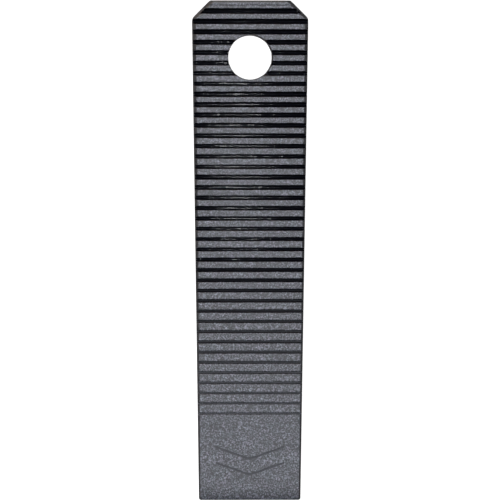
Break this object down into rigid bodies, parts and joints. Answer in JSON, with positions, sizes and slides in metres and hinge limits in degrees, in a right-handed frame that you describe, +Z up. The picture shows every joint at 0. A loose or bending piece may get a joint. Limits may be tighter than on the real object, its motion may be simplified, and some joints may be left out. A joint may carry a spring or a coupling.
{
  "type": "felling wedge",
  "caption": "Felling wedge: slender tapered plastic wedge with cross ribs on both faces, cut corners at the striking end and a round hanging hole.",
  "frame": {"origin": "on the surface it lies on, under the middle of its outline", "axes": "+Y towards the striking face, -Y towards the tip, +Z up, +X across its width"},
  "size_m": [0.058, 0.2504, 0.0278],
  "materials": {
    "body": "black moulded plastic: fine spark-eroded grain on the faces, smooth and glossier in the grooves"
  },
  "bodies": {
    "root": {"wedge_body": "body"}
  },
  "joints": []
}
